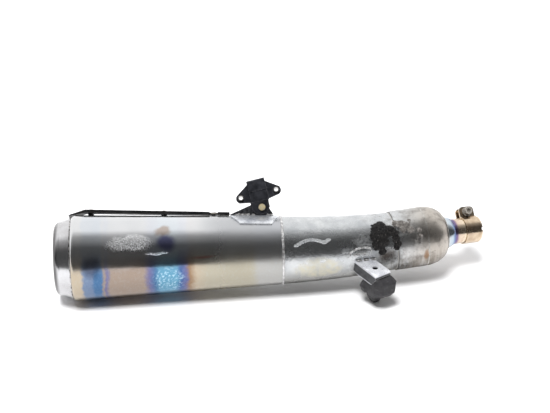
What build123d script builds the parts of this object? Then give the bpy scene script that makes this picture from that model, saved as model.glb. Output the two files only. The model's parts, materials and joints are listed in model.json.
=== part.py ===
from build123d import *

import os
from math import cos, radians, sin

os.makedirs("parts", exist_ok=True)

# Motorcycle slip-on exhaust muffler, in millimetres, +Z up as it lies on a table.
# The origin is the centre of the inlet's mouth. +X runs along the straight can, from the
# outlet towards the inlet, and +Y points to the side that the hanger leans to.

# ---- driving dimensions ------------------------------------------------------------------
wall = 1.5                   # sheet thickness of the shells
can_length = 341
can_rear_radius = 70.5
can_front_radius = 56
middle_length = 190          # the bent shell between the can and the front chamber
middle_front_radius = 47.5
front_length = 46
front_radius = 49.4
lap = 5                      # the front shell laps this far over the middle shell
dome_length = 38.5
neck_base_radius = 27
neck_end_radius = 23.6
neck_length = 11
inlet_length = 63.5          # from the foot of the neck to the mouth
pipe_radius = 19.05          # header pipe of 38.1 mm
sleeve_radius = 21.05
chamber_yaw = 7.5            # turn of the front chamber against the can, in degrees
chamber_pitch = 2.8
inlet_yaw = 16.5
inlet_pitch = -5.0

cap_length = 28.5
cap_radius = 66.5
outlet_radius = 22.5
outlet_wall = 1.5
outlet_end = 11              # inner end of the outlet tube, from the rear seam
inner_pipe_radius = 18       # the header pipe stops against the narrower pipe inside
inner_pipe_outside = 19.8
outlet_recess = 4

clamp_centre = 16.5          # from the mouth back to the middle of the clamp band
clamp_width = 27
clamp_radius = 21.35
clamp_wall = 1.5
clamp_turn = 45              # the lugs lean this far from upright, towards +Y
lug_face = 8                 # outer face of each lug, from the clamp's middle plane
lug_wall = 2.5
lug_height = 38.5
clamp_bolt_height = 29.5
m8_radius = 4.0
m8_hole = 4.08

hanger_place = 311.2         # hanger bolt, from the rear seam along the can
hanger_lean = 25             # the hanger tab stands this far from upright, towards +Y
hanger_bolt_height = 72.9    # above the can's axis
hanger_swivel = 12           # the hanger is turned this far about its bolt
hanger_tilt = 20             # the rubber mount leans back from the arm
m6_radius = 3.0
m6_hole = 3.06
ear_spacing = 60
ear_radius = 8
ear_sleeve_radius = 5
ear_hole_radius = 3.4
ear_sleeve_length = 12

bracket_angle = -60          # the stop bracket points this way in plan
bracket_hole_x = -187.5
bracket_hole_y = -110.6
bracket_top = 2.3
bracket_width = 30
bracket_reach = 20.5         # from the hole to the end flange
bracket_wall = 2.5
stop_hole_radius = 4.6
floor_height = -72.4

shield_wall = 1.2
shield_near = 30             # edges of the heat shield, in degrees from upright towards +Y
shield_far = 55


# ---- places ------------------------------------------------------------------------------
def direction(yaw, pitch):
    """Unit vector turned by yaw about Z from +X, then raised by pitch."""
    y = radians(yaw)
    p = radians(pitch)
    return Vector(cos(p) * cos(y), cos(p) * sin(y), sin(p))


def across(point, along):
    """Plane square to a direction, with its X towards the +Y side and its Y upwards."""
    return Plane(origin=point, x_dir=Vector(0, 0, 1).cross(along), z_dir=along)


def lengthwise(point, along):
    """Plane through an axis: X along the axis, Y upwards, for profiles to revolve."""
    return Plane(origin=point, x_dir=along, z_dir=along.cross(Vector(0, 0, 1)))


can_dir = Vector(1, 0, 0)
chamber_dir = direction(chamber_yaw, chamber_pitch)
inlet_dir = direction(inlet_yaw, inlet_pitch)
middle_chord = direction(0.42 * chamber_yaw, 0.42 * chamber_pitch)

mouth = Vector(0, 0, 0)
neck_foot = mouth - inlet_dir * inlet_length
dome_start = neck_foot - chamber_dir * dome_length
front_start = dome_start - chamber_dir * front_length
middle_start = front_start - middle_chord * middle_length
can_start = middle_start - can_dir * can_length

can_axis = Axis(can_start, can_dir)
chamber_axis = Axis(dome_start, chamber_dir)


def can_radius(place):
    """Outer radius of the can at a distance from its rear seam."""
    return can_rear_radius + (can_front_radius - can_rear_radius) * place / can_length


def can_point(place):
    return can_start + can_dir * place


def out_from_can(lean):
    """Unit vector square to the can, leaning from upright towards +Y."""
    return Vector(0, sin(radians(lean)), cos(radians(lean)))


def can_section(lean):
    """Plane through the can's axis at a lean: X along the can, Y outwards."""
    return Plane(origin=can_start, x_dir=can_dir, z_dir=can_dir.cross(out_from_can(lean)))


def can_face(place, lean, height):
    """Plane that looks at the can from outside, at a place and lean."""
    out = out_from_can(lean)
    return Plane(origin=can_point(place) + out * height, x_dir=can_dir, z_dir=out)


def weld_bead(point, along, foot, crown):
    """Ring of weld on a seam. The foot is a run of (place, radius) points on the shells,
    and the weld's face is an arc from the last to the first through the crown."""
    with BuildPart() as bead:
        with BuildSketch(lengthwise(point, along)):
            with BuildLine():
                Polyline(*foot)
                ThreePointArc(foot[-1], crown, foot[0])
            make_face()
        revolve(axis=Axis(point, along))
    return bead.part


def can_strip(start, end, inner_gap, outer_gap, near, far):
    """Strip of sheet that follows the can between two places and two leans."""
    with BuildPart() as strip:
        with BuildSketch(can_section(far)):
            Polygon(
                (start, can_radius(start) + inner_gap),
                (end, can_radius(end) + inner_gap),
                (end, can_radius(end) + outer_gap),
                (start, can_radius(start) + outer_gap),
                align=None,
            )
        revolve(axis=can_axis, revolution_arc=far - near)
    return strip.part


def can_sector(profile, near, far):
    """Profile of (place, radius) points swept about the can between two leans."""
    with BuildPart() as sector:
        with BuildSketch(can_section(far)):
            Polygon(*profile, align=None)
        revolve(axis=can_axis, revolution_arc=far - near)
    return sector.part


def tube(point, along, start, end, outer, inner):
    """Straight tube on an axis, from start to end."""
    with BuildPart() as pipe:
        with BuildSketch(across(point + along * start, along)):
            Circle(outer)
            Circle(inner, mode=Mode.SUBTRACT)
        extrude(amount=end - start)
    return pipe.part


# ---- rear cap, end plate and outlet --------------------------------------------------------
with BuildPart() as rear_cap:
    with BuildSketch(lengthwise(can_start, can_dir)):
        with BuildLine():
            Line((0, cap_radius), (-3, cap_radius - 0.658))
            Line((-3, cap_radius - 0.658), (-17.5, 61.2))
            ThreePointArc((-17.5, 61.2), (-25.1, 58.0), (-cap_length, 52.5))
            Line((-cap_length, 52.5), (-cap_length, 50))
            Line((-cap_length, 50), (-25.7, 50))
            ThreePointArc((-25.7, 50), (-23.8, 55.7), (-17.1, 59.1))
            Line((-17.1, 59.1), (0, 64.4))
            Line((0, 64.4), (0, cap_radius))
        make_face()
    revolve(axis=can_axis)
rear_cap.part.label = "rear_cap"
export_step(rear_cap.part, "parts/rear_cap.step")

with BuildPart() as outlet_tube:
    add(tube(can_start, can_dir, outlet_recess - cap_length, outlet_end,
             outlet_radius + outlet_wall, outlet_radius))
outlet_tube.part.label = "outlet_tube"
export_step(outlet_tube.part, "parts/outlet_tube.step")

with BuildPart() as rear_end_plate:
    with BuildSketch(lengthwise(can_start, can_dir)):
        with BuildLine():
            Polyline(
                (-10, 61.18), (-10, 55), (-16, 50), (-16, outlet_radius + outlet_wall),
                (-14, outlet_radius + outlet_wall), (-14, 49), (-8, 54), (-8, 61.8),
                (-10, 61.18),
            )
        make_face()
    revolve(axis=can_axis)
rear_end_plate.part.label = "rear_end_plate"
export_step(rear_end_plate.part, "parts/rear_end_plate.step")

# ---- can: a rolled cone, its rear edge turned in to meet the cap ---------------------------
with BuildPart() as rear_shell:
    with BuildSketch(lengthwise(can_start, can_dir)):
        with BuildLine():
            ThreePointArc((0, 67.4), (2.2, 69.3), (6, can_radius(6)))
            Line((6, can_radius(6)), (can_length, can_front_radius))
            Line((can_length, can_front_radius), (can_length, can_front_radius - wall))
            Line((can_length, can_front_radius - wall), (6, can_radius(6) - wall))
            ThreePointArc((6, can_radius(6) - wall), (3, 67.6), (0, 65.6))
            Line((0, 65.6), (0, 67.4))
        make_face()
    revolve(axis=can_axis)
rear_shell.part.label = "rear_shell"
export_step(rear_shell.part, "parts/rear_shell.step")

# ---- middle shell: a bent taper lofted through rings on its curved axis --------------------
with BuildLine() as middle_axis:
    Spline(middle_start, front_start, tangents=(can_dir, chamber_dir))
middle_curve = middle_axis.wire()
middle_rings = 5


def middle_loft(shrink):
    """Bent taper through evenly spaced rings, smaller by a given amount."""
    with BuildPart() as body:
        for ring in range(middle_rings + 1):
            t = ring / middle_rings
            radius = can_front_radius + (middle_front_radius - can_front_radius) * t
            with BuildSketch(across(middle_curve.position_at(t), middle_curve.tangent_at(t))):
                Circle(radius - shrink)
        loft()
    return body.part


middle_solid = middle_loft(0)

with BuildPart() as middle_shell:
    add(middle_solid)
    add(middle_loft(wall), mode=Mode.SUBTRACT)
middle_shell.part.label = "middle_shell"
export_step(middle_shell.part, "parts/middle_shell.step")

# ---- front chamber: a plain ring lapped over the middle shell, and a domed end -------------
with BuildPart() as front_shell:
    add(tube(front_start, chamber_dir, -lap, front_length, front_radius, front_radius - wall))
front_shell.part.label = "front_shell"
export_step(front_shell.part, "parts/front_shell.step")

with BuildPart() as front_dome:
    with BuildSketch(lengthwise(dome_start, chamber_dir)):
        with BuildLine():
            EllipticalCenterArc((0, neck_base_radius), dome_length,
                                front_radius - neck_base_radius, arc_size=90)
            Line((0, front_radius), (0, front_radius - wall))
            EllipticalCenterArc((0, neck_base_radius), dome_length - wall,
                                front_radius - wall - neck_base_radius, arc_size=90)
            Line((dome_length - wall, neck_base_radius), (dome_length, neck_base_radius))
        make_face()
    revolve(axis=chamber_axis)
front_dome.part.label = "front_dome"
export_step(front_dome.part, "parts/front_dome.step")

# ---- inlet: neck, slotted sleeve and the pipe that runs on inside --------------------------
with BuildPart() as inlet_neck:
    with BuildSketch(across(neck_foot - chamber_dir * wall, chamber_dir)):
        Circle(neck_base_radius)
    with BuildSketch(across(neck_foot + inlet_dir * 4, inlet_dir)):
        Circle(neck_base_radius - 1)
    with BuildSketch(across(neck_foot + inlet_dir * neck_length, inlet_dir)):
        Circle(neck_end_radius)
    loft()
    with BuildSketch(across(neck_foot - inlet_dir * 20, inlet_dir)):
        Circle(sleeve_radius)
    extrude(amount=60, mode=Mode.SUBTRACT)
inlet_neck.part.label = "inlet_neck"
export_step(inlet_neck.part, "parts/inlet_neck.step")

slot_length = 32
slot_width = 4
slot_turn = 59               # first slot, in degrees about the sleeve from the +Y side
slots = 4

with BuildPart() as inlet_sleeve:
    with BuildSketch(across(neck_foot, inlet_dir)):
        Circle(sleeve_radius)
        Circle(pipe_radius, mode=Mode.SUBTRACT)
    extrude(amount=inlet_length)
    for slot in range(slots):
        turn = radians(slot_turn + slot * 360 / slots)
        face = across(mouth, inlet_dir)
        out = face.x_dir * cos(turn) + face.y_dir * sin(turn)
        with BuildSketch(Plane(origin=mouth, x_dir=inlet_dir, z_dir=out)):
            with Locations((2, 0)):
                Rectangle(2 * slot_length, slot_width)
        extrude(amount=sleeve_radius + 5, mode=Mode.SUBTRACT)
inlet_sleeve.part.label = "inlet_sleeve"
export_step(inlet_sleeve.part, "parts/inlet_sleeve.step")

inlet_pipe_length = 98
pipe_rings = 4
holes_per_ring = 8

with BuildPart() as inlet_pipe:
    with BuildSketch(across(neck_foot - inlet_dir * inlet_pipe_length, inlet_dir)):
        Circle(inner_pipe_outside)
        Circle(inner_pipe_radius, mode=Mode.SUBTRACT)
    extrude(amount=inlet_pipe_length)
    for ring in range(pipe_rings):
        middle = neck_foot - inlet_dir * (24 + 12 * ring)
        face = across(middle, inlet_dir)
        for hole in range(holes_per_ring):
            turn = radians(hole * 360 / holes_per_ring)
            out = face.x_dir * cos(turn) + face.y_dir * sin(turn)
            with BuildSketch(Plane(origin=middle, x_dir=inlet_dir, z_dir=out)):
                Circle(2.5)
            extrude(amount=inner_pipe_outside + 3, mode=Mode.SUBTRACT)
inlet_pipe.part.label = "inlet_pipe"
export_step(inlet_pipe.part, "parts/inlet_pipe.step")

# ---- baffles, transfer tubes, perforated core and packing ----------------------------------
core_radius = 24
transfer_radius = 12
transfer_place = 38.2
baffle_wall = 1.5
rear_baffle_place = 205

with BuildPart() as front_baffle:
    with BuildSketch(across(front_start + chamber_dir * 4, chamber_dir)):
        Circle(front_radius - wall)
    extrude(amount=baffle_wall)
    with BuildSketch(across(neck_foot - inlet_dir * 150, inlet_dir)):
        Circle(inner_pipe_outside)
    extrude(amount=140, mode=Mode.SUBTRACT)
front_baffle.part.label = "front_baffle"
export_step(front_baffle.part, "parts/front_baffle.step")

with BuildPart() as middle_baffle:
    with BuildSketch(across(can_point(can_length - 6), can_dir)):
        Circle(can_radius(can_length - 6) - wall - 0.1)
        Circle(core_radius, mode=Mode.SUBTRACT)
        with PolarLocations(transfer_place, 2):
            Circle(transfer_radius, mode=Mode.SUBTRACT)
    extrude(amount=baffle_wall)
middle_baffle.part.label = "middle_baffle"
export_step(middle_baffle.part, "parts/middle_baffle.step")

with BuildPart() as transfer_tubes:
    with BuildSketch(across(can_point(can_length - 60), can_dir)):
        with PolarLocations(transfer_place, 2):
            Circle(transfer_radius)
            Circle(transfer_radius - 1.2, mode=Mode.SUBTRACT)
    extrude(amount=105)
transfer_tubes.part.label = "transfer_tubes"
export_step(transfer_tubes.part, "parts/transfer_tubes.step")

with BuildPart() as rear_baffle:
    with BuildSketch(across(can_point(rear_baffle_place), can_dir)):
        Circle(can_radius(rear_baffle_place) - wall - 0.1)
        Circle(core_radius, mode=Mode.SUBTRACT)
    extrude(amount=baffle_wall)
rear_baffle.part.label = "rear_baffle"
export_step(rear_baffle.part, "parts/rear_baffle.step")

core_start = outlet_end
core_end = can_length + 20
core_rings = 6

with BuildPart() as perforated_core:
    add(tube(can_start, can_dir, core_start, core_end, core_radius, core_radius - 1))
    for ring in range(core_rings):
        middle = can_point(core_start + 25 + 30 * ring)
        for hole in range(holes_per_ring):
            out = out_from_can(hole * 360 / holes_per_ring)
            with BuildSketch(Plane(origin=middle, x_dir=can_dir, z_dir=out)):
                Circle(2.5)
            extrude(amount=core_radius + 3, mode=Mode.SUBTRACT)
perforated_core.part.label = "perforated_core"
export_step(perforated_core.part, "parts/perforated_core.step")

with BuildPart() as glass_wool_packing:
    with BuildSketch(lengthwise(can_start, can_dir)):
        Polygon(
            (10, core_radius + 0.1),
            (rear_baffle_place - 1, core_radius + 0.1),
            (rear_baffle_place - 1, can_radius(rear_baffle_place) - wall - 0.6),
            (10, can_radius(10) - wall - 0.6),
            align=None,
        )
    revolve(axis=can_axis)
glass_wool_packing.part.label = "glass_wool_packing"
export_step(glass_wool_packing.part, "parts/glass_wool_packing.step")

# ---- weld beads on the seams ---------------------------------------------------------------
middle_taper = (can_front_radius - middle_front_radius) / middle_length

rear_weld = weld_bead(can_start, can_dir, ((-2.2, 66.02), (0, cap_radius), (0, 67.4)),
                      (-0.8, 67.15))
rear_weld.label = "rear_weld"
export_step(rear_weld, "parts/rear_weld.step")

middle_weld = weld_bead(
    middle_start, can_dir,
    ((-2.4, can_radius(can_length - 2.4)), (0, can_front_radius),
     (0, can_front_radius + 0.05), (2.4, can_front_radius - 2.4 * middle_taper + 0.05)),
    (0, can_front_radius + 1.3),
)
middle_weld.label = "middle_weld"
export_step(middle_weld, "parts/middle_weld.step")

lap_radius = middle_front_radius + lap * middle_taper

front_weld = weld_bead(
    front_start - chamber_dir * lap, chamber_dir,
    ((0, front_radius - 0.2), (0, front_radius - wall + 0.02), (-3, lap_radius + 0.25)),
    (-1.1, front_radius - 0.5),
)
front_weld.label = "front_weld"
export_step(front_weld, "parts/front_weld.step")

dome_weld = weld_bead(dome_start, chamber_dir,
                      ((-2.2, front_radius), (0, front_radius), (0, front_radius + 0.03),
                       (2.2, front_radius + 0.03)),
                      (0, front_radius + 1))
dome_weld.label = "dome_weld"
export_step(dome_weld, "parts/dome_weld.step")

neck_weld = weld_bead(neck_foot, chamber_dir,
                      ((0.02, neck_base_radius + 2.6), (0.02, neck_base_radius + 0.05),
                       (2.4, neck_base_radius + 0.05)),
                      (1.9, neck_base_radius + 1.9))
neck_weld.label = "neck_weld"
export_step(neck_weld, "parts/neck_weld.step")

# ---- clamp on the inlet sleeve ---------------------------------------------------------------
inlet_face = across(mouth, inlet_dir)
lean = radians(clamp_turn)
lug_dir = inlet_face.x_dir * sin(lean) + inlet_face.y_dir * cos(lean)
bolt_dir = inlet_face.x_dir * -cos(lean) + inlet_face.y_dir * sin(lean)
clamp_middle = mouth - inlet_dir * clamp_centre
clamp_ring = Plane(origin=clamp_middle, x_dir=lug_dir, z_dir=inlet_dir)
clamp_side = Plane(origin=clamp_middle, x_dir=lug_dir, z_dir=bolt_dir)
bolt_line = clamp_middle + lug_dir * clamp_bolt_height


def on_bolt(place):
    """Plane square to the clamp bolt, at a distance from the clamp's middle plane."""
    return Plane(origin=bolt_line + bolt_dir * place, x_dir=lug_dir, z_dir=bolt_dir)


lug_start = 21.6
lug_middle = lug_face - lug_wall / 2
gap = 2 * (lug_face - lug_wall)

with BuildPart() as clamp_band:
    with BuildSketch(clamp_ring):
        Circle(clamp_radius + clamp_wall)
        Circle(clamp_radius, mode=Mode.SUBTRACT)
        with Locations((clamp_radius, 0)):
            Rectangle(12, gap, mode=Mode.SUBTRACT)
        with Locations(((lug_start + lug_height) / 2, lug_middle),
                       ((lug_start + lug_height) / 2, -lug_middle)):
            Rectangle(lug_height - lug_start, lug_wall)
    extrude(amount=clamp_width / 2, both=True)
    with BuildSketch(clamp_side):
        with Locations((lug_height - 45, 0)):
            RectangleRounded(90, clamp_width, 7)
    extrude(amount=60, both=True, mode=Mode.INTERSECT)
    with BuildSketch(on_bolt(0)):
        Circle(m8_hole)
    extrude(amount=40, both=True, mode=Mode.SUBTRACT)
clamp_band.part.label = "clamp_band"
export_step(clamp_band.part, "parts/clamp_band.step")

washer_wall = 1.6
washer_face = lug_face + 0.05
head_face = washer_face + washer_wall
bolt_length = 30

with BuildPart() as clamp_washer:
    with BuildSketch(on_bolt(washer_face)):
        Circle(8)
        Circle(m8_hole, mode=Mode.SUBTRACT)
    extrude(amount=washer_wall)
clamp_washer.part.label = "clamp_washer"
export_step(clamp_washer.part, "parts/clamp_washer.step")

with BuildPart() as clamp_bolt:
    with BuildSketch(on_bolt(head_face)):
        Circle(6.5)
    extrude(amount=8)
    chamfer(clamp_bolt.edges().filter_by(GeomType.CIRCLE).sort_by(Axis(bolt_line, bolt_dir))[-1],
            length=0.7)
    with BuildSketch(on_bolt(head_face + 8)):
        RegularPolygon(3.46, 6)
    extrude(amount=-4.5, mode=Mode.SUBTRACT)
    with BuildSketch(on_bolt(head_face)):
        Circle(m8_radius)
    extrude(amount=-bolt_length)
    chamfer(clamp_bolt.edges().filter_by(GeomType.CIRCLE).sort_by(Axis(bolt_line, bolt_dir))[0],
            length=0.8)
clamp_bolt.part.label = "clamp_bolt"
export_step(clamp_bolt.part, "parts/clamp_bolt.step")

with BuildPart() as clamp_nut:
    with BuildSketch(on_bolt(-lug_face)):
        RegularPolygon(7.5, 6)
        Circle(m8_hole, mode=Mode.SUBTRACT)
    extrude(amount=-6.5)
clamp_nut.part.label = "clamp_nut"
export_step(clamp_nut.part, "parts/clamp_nut.step")

# ---- hanger: saddle and tab welded on the can ------------------------------------------------
saddle_wall = 2
saddle_start = hanger_place - 52
saddle_end = hanger_place + 24
saddle_middle = (saddle_start + saddle_end) / 2
tab_wall = 3

with BuildPart() as hanger_saddle:
    add(can_strip(saddle_start - 5, saddle_end + 5, 0, saddle_wall, hanger_lean - 45,
                  hanger_lean + 45))
    with BuildSketch(can_face(saddle_middle, hanger_lean, 0)):
        Polygon(
            (-38, -10), (-24, -33), (28, -33), (38, -14),
            (38, 14), (28, 33), (-24, 33), (-38, 10),
            align=None,
        )
    extrude(amount=90, mode=Mode.INTERSECT)
hanger_saddle.part.label = "hanger_saddle"
export_step(hanger_saddle.part, "parts/hanger_saddle.step")

can_under_saddle = can_strip(saddle_start - 20, saddle_end + 20, -30, saddle_wall,
                             hanger_lean - 60, hanger_lean + 60)
hanger_foot = can_point(hanger_place)
hanger_out = out_from_can(hanger_lean)
hanger_front = can_dir.cross(hanger_out)
tab_face = Plane(origin=hanger_foot, x_dir=can_dir, z_dir=hanger_front)

with BuildPart() as hanger_tab:
    with BuildSketch(tab_face):
        Polygon((-53, 55), (-53, 62), (-8, 80.5), (7, 79), (18, 61), (18, 55), align=None)
        with Locations((0, hanger_bolt_height)):
            Circle(9.5)
            Circle(m6_hole, mode=Mode.SUBTRACT)
    extrude(amount=-tab_wall)
    add(can_under_saddle, mode=Mode.SUBTRACT)
hanger_tab.part.label = "hanger_tab"
export_step(hanger_tab.part, "parts/hanger_tab.step")

with BuildPart() as hanger_tab_welds:
    for start, end in ((-45, -20), (9.5, 18)):
        foot = can_radius(hanger_place + (start + end) / 2) + saddle_wall
        with BuildSketch(Plane(origin=hanger_foot + can_dir * start, x_dir=-hanger_front,
                               z_dir=can_dir)):
            with Locations((0, foot)):
                Circle(2.6)
        extrude(amount=end - start)
    add(can_under_saddle, mode=Mode.SUBTRACT)
    add(hanger_tab.part, mode=Mode.SUBTRACT)
hanger_tab_welds.part.label = "hanger_tab_welds"
export_step(hanger_tab_welds.part, "parts/hanger_tab_welds.step")

# ---- hanger: the arm, its rubber mount and the two-eared flange ------------------------------
swivel = radians(hanger_swivel)
tilt = radians(hanger_tilt)
arm_x = can_dir * cos(swivel) + hanger_out * sin(swivel)
arm_y = hanger_out * cos(swivel) - can_dir * sin(swivel)
bolt_centre = hanger_foot + hanger_out * hanger_bolt_height
arm_clear = 0.2
arm_wall = 3
bend = 10                    # from the bolt up to the bend in the arm

arm_face = Plane(origin=bolt_centre + hanger_front * arm_clear, x_dir=arm_x,
                 z_dir=hanger_front)
mount_y = arm_y * cos(tilt) - hanger_front * sin(tilt)
mount_front = hanger_front * cos(tilt) + arm_y * sin(tilt)
mount_origin = arm_face.origin + arm_y * bend
mount_face = Plane(origin=mount_origin, x_dir=arm_x, z_dir=mount_front)
mount_side = Plane(origin=mount_origin, x_dir=mount_y, z_dir=arm_x)

strap_top = 38
strap_depth = 22             # from the front leg's back face to the back leg's back face
mount_width = 30
rubber_foot = 8
flange_front = -8
flange_wall = 3
flange_middle = 14           # the ears' height above the bend

with BuildPart() as hanger_arm:
    with BuildSketch(arm_face):
        Polygon((-17, 11), (-17, -2), (-8, -11), (4, -11), (12.5, -3), (13.5, 11), align=None)
        Circle(m6_hole, mode=Mode.SUBTRACT)
    extrude(amount=arm_wall)
    with BuildSketch(arm_face):
        with Locations((-16, 4.5), (12, 4.5)):
            Rectangle(2, 13)
    extrude(amount=arm_wall + 2.5)
    with BuildSketch(mount_side):
        with BuildLine():
            FilletPolyline((-0.5, arm_wall), (strap_top, arm_wall), (strap_top, -strap_depth),
                           (12, -strap_depth), radius=4)
            Line((12, -strap_depth), (12, arm_wall - strap_depth))
            FilletPolyline((12, arm_wall - strap_depth), (strap_top - 3, arm_wall - strap_depth),
                           (strap_top - 3, 0), (-0.5, 0), radius=1.5)
            Line((-0.5, 0), (-0.5, arm_wall))
        make_face()
    extrude(amount=mount_width / 2, both=True)
    with BuildSketch(mount_face.offset(arm_wall)):
        with Locations((0.5, 26.5)):
            RectangleRounded(mount_width - 1, 18, 2.5)
    extrude(amount=1.4)
hanger_arm.part.label = "hanger_arm"
export_step(hanger_arm.part, "parts/hanger_arm.step")

with BuildPart() as hanger_flange:
    with BuildSketch(mount_face.offset(flange_front - flange_wall)):
        with BuildLine():
            Polyline((-14.5, 34.5), (14.5, 34.5), (33.5, 21.2), (30, 6), (14, 3), (-14, 3),
                     (-30, 6), (-33.5, 21.2), (-14.5, 34.5))
        make_face()
        with Locations((-ear_spacing / 2, flange_middle), (ear_spacing / 2, flange_middle)):
            Circle(ear_radius)
            Circle(ear_sleeve_radius, mode=Mode.SUBTRACT)
    extrude(amount=flange_wall)
hanger_flange.part.label = "hanger_flange"
export_step(hanger_flange.part, "parts/hanger_flange.step")

with BuildPart() as hanger_ear_sleeves:
    with BuildSketch(mount_face.offset(flange_front - flange_wall / 2)):
        with Locations((-ear_spacing / 2, flange_middle), (ear_spacing / 2, flange_middle)):
            Circle(ear_sleeve_radius)
            Circle(ear_hole_radius, mode=Mode.SUBTRACT)
    extrude(amount=ear_sleeve_length / 2, both=True)
hanger_ear_sleeves.part.label = "hanger_ear_sleeves"
export_step(hanger_ear_sleeves.part, "parts/hanger_ear_sleeves.step")

with BuildPart() as hanger_rubber:
    with BuildSketch(mount_side):
        Polygon(
            (rubber_foot, 0), (strap_top - 3, 0), (strap_top - 3, arm_wall - strap_depth),
            (rubber_foot, arm_wall - strap_depth),
            align=None,
        )
    extrude(amount=mount_width / 2 - 1, both=True)
    add(hanger_flange.part, mode=Mode.SUBTRACT)
    add(hanger_arm.part, mode=Mode.SUBTRACT)
hanger_rubber.part.label = "hanger_rubber"
export_step(hanger_rubber.part, "parts/hanger_rubber.step")

bolt_out = Plane(origin=bolt_centre, x_dir=arm_x, z_dir=hanger_front)
under_head = arm_clear + arm_wall + 0.1

with BuildPart() as hanger_bolt:
    with BuildSketch(bolt_out.offset(under_head)):
        Circle(5.6)
    extrude(amount=1.2)
    with BuildSketch(bolt_out.offset(under_head + 1.2)):
        RegularPolygon(5.0, 6)
    extrude(amount=3.6)
    with BuildSketch(bolt_out.offset(under_head)):
        Circle(m6_radius)
    extrude(amount=-16)
hanger_bolt.part.label = "hanger_bolt"
export_step(hanger_bolt.part, "parts/hanger_bolt.step")

with BuildPart() as hanger_nut:
    with BuildSketch(bolt_out.offset(-tab_wall)):
        RegularPolygon(5.77, 6)
        Circle(m6_hole, mode=Mode.SUBTRACT)
    extrude(amount=-5)
hanger_nut.part.label = "hanger_nut"
export_step(hanger_nut.part, "parts/hanger_nut.step")

# ---- stop bracket: a pressed channel on the near side, with a rubber stop --------------------
reach_dir = direction(bracket_angle, 0)
bracket_hole = Vector(bracket_hole_x, bracket_hole_y, bracket_top)
bracket_side = Vector(0, 0, 1).cross(reach_dir)
bracket_face = Plane(origin=bracket_hole, x_dir=reach_dir, z_dir=(0, 0, 1))
bracket_back = -48
web_drop = 22
flange_drop = 7


def bracket_section(side):
    """Upright plane along the bracket: X outwards, Y up, at a distance to the side."""
    return Plane(origin=bracket_hole + bracket_side * side, x_dir=reach_dir,
                 z_dir=reach_dir.cross(Vector(0, 0, 1)))


with BuildPart() as stop_bracket:
    with BuildSketch(bracket_face):
        Polygon((bracket_back, -bracket_width / 2), (bracket_reach, -bracket_width / 2),
                (bracket_reach, bracket_width / 2), (bracket_back, bracket_width / 2),
                align=None)
        Circle(stop_hole_radius, mode=Mode.SUBTRACT)
    extrude(amount=-bracket_wall)
    with BuildSketch(bracket_section(-bracket_width / 2)):
        Polygon((bracket_back, 0), (bracket_reach, 0), (bracket_reach, -8), (9, -web_drop),
                (-26, -web_drop), (bracket_back, -web_drop + 6), align=None)
    extrude(amount=-bracket_wall)
    with BuildSketch(bracket_section(bracket_width / 2)):
        Polygon((bracket_back, 0), (bracket_reach, 0), (bracket_reach, -flange_drop),
                (bracket_back, -flange_drop), align=None)
    extrude(amount=bracket_wall)
    with BuildSketch(bracket_section(-bracket_width / 2)):
        Polygon((bracket_reach - bracket_wall, 0), (bracket_reach, 0),
                (bracket_reach, -flange_drop), (bracket_reach - bracket_wall, -flange_drop),
                align=None)
    extrude(amount=-bracket_width)
    add(middle_solid, mode=Mode.SUBTRACT)
stop_bracket.part.label = "stop_bracket"
export_step(stop_bracket.part, "parts/stop_bracket.step")

rubber_levels = (            # outlines of the stop rubber, from its shoulders to its chin
    (-8, ((-18, -12), (10, -12), (19, -5), (19, 15), (14, 19), (-18, 19))),
    (-20, ((-18, -12), (13, -12), (25, 0), (29, 21), (23, 27), (-18, 27))),
    (-38, ((-17, -12), (14, -12), (25, -1), (28, 20), (22, 26), (-17, 26))),
    (-47, ((-15, -10), (11, -10), (19, -1), (21, 16), (17, 22), (-15, 22))),
)
foot_levels = (
    (-44, ((-16, -6), (4, -6), (8, 0), (8, 12), (2, 18), (-16, 18))),
    (-60, ((-17, -2), (-3, -2), (2, 3), (2, 14), (-3, 20), (-17, 20))),
    (floor_height, ((-17, 5), (-9, 5), (-6, 8), (-6, 16), (-9, 20), (-17, 20))),
)
lobe_levels = (
    (-28, ((-18, -13), (-8, -13), (-6, -10), (-6, -4), (-20, -4), (-20, -10))),
    (-36, ((-20, -16), (-8, -16), (-4, -12), (-4, -4), (-22, -4), (-22, -12))),
    (-46, ((-18, -13), (-8, -13), (-6, -10), (-6, -4), (-19, -4), (-19, -10))),
)


def stack(levels):
    """Faceted lump through plan outlines at heights, each (outwards, sideways) from the hole."""
    with BuildPart() as lump:
        for height, outline in levels:
            with BuildSketch(Plane(origin=(bracket_hole.X, bracket_hole.Y, height),
                                   x_dir=reach_dir, z_dir=(0, 0, 1))):
                Polygon(*outline, align=None)
        loft(ruled=True)
    return lump.part


with BuildPart() as stop_rubber:
    for levels in (rubber_levels, foot_levels, lobe_levels):
        add(stack(levels))
    with BuildSketch(bracket_section(-bracket_width / 2 + bracket_wall)):
        Polygon((-18, -bracket_wall), (bracket_reach - bracket_wall, -bracket_wall),
                (bracket_reach - bracket_wall, -14), (-18, -14), align=None)
    extrude(amount=-(bracket_width - 2 * bracket_wall))
    add(stop_bracket.part, mode=Mode.SUBTRACT)
    with BuildSketch(bracket_face):
        Circle(7)
    extrude(amount=-24, mode=Mode.SUBTRACT)
stop_rubber.part.label = "stop_rubber"
export_step(stop_rubber.part, "parts/stop_rubber.step")

weld_radius = 2.4
weld_length = 9
weld_step = 12
root_start = Vector(-215, -86.75 - weld_radius, bracket_top)
root_dir = direction(6, 0)

with BuildPart() as bracket_welds:
    for weld in range(3):
        with BuildSketch(Plane(origin=root_start + root_dir * weld_step * weld,
                               x_dir=Vector(0, 0, 1).cross(root_dir), z_dir=root_dir)):
            Circle(weld_radius)
            with Locations((0, -weld_radius)):
                Rectangle(2 * weld_radius, 2 * weld_radius, mode=Mode.SUBTRACT)
        extrude(amount=weld_length)
bracket_welds.part.label = "bracket_welds"
export_step(bracket_welds.part, "parts/bracket_welds.step")

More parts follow.
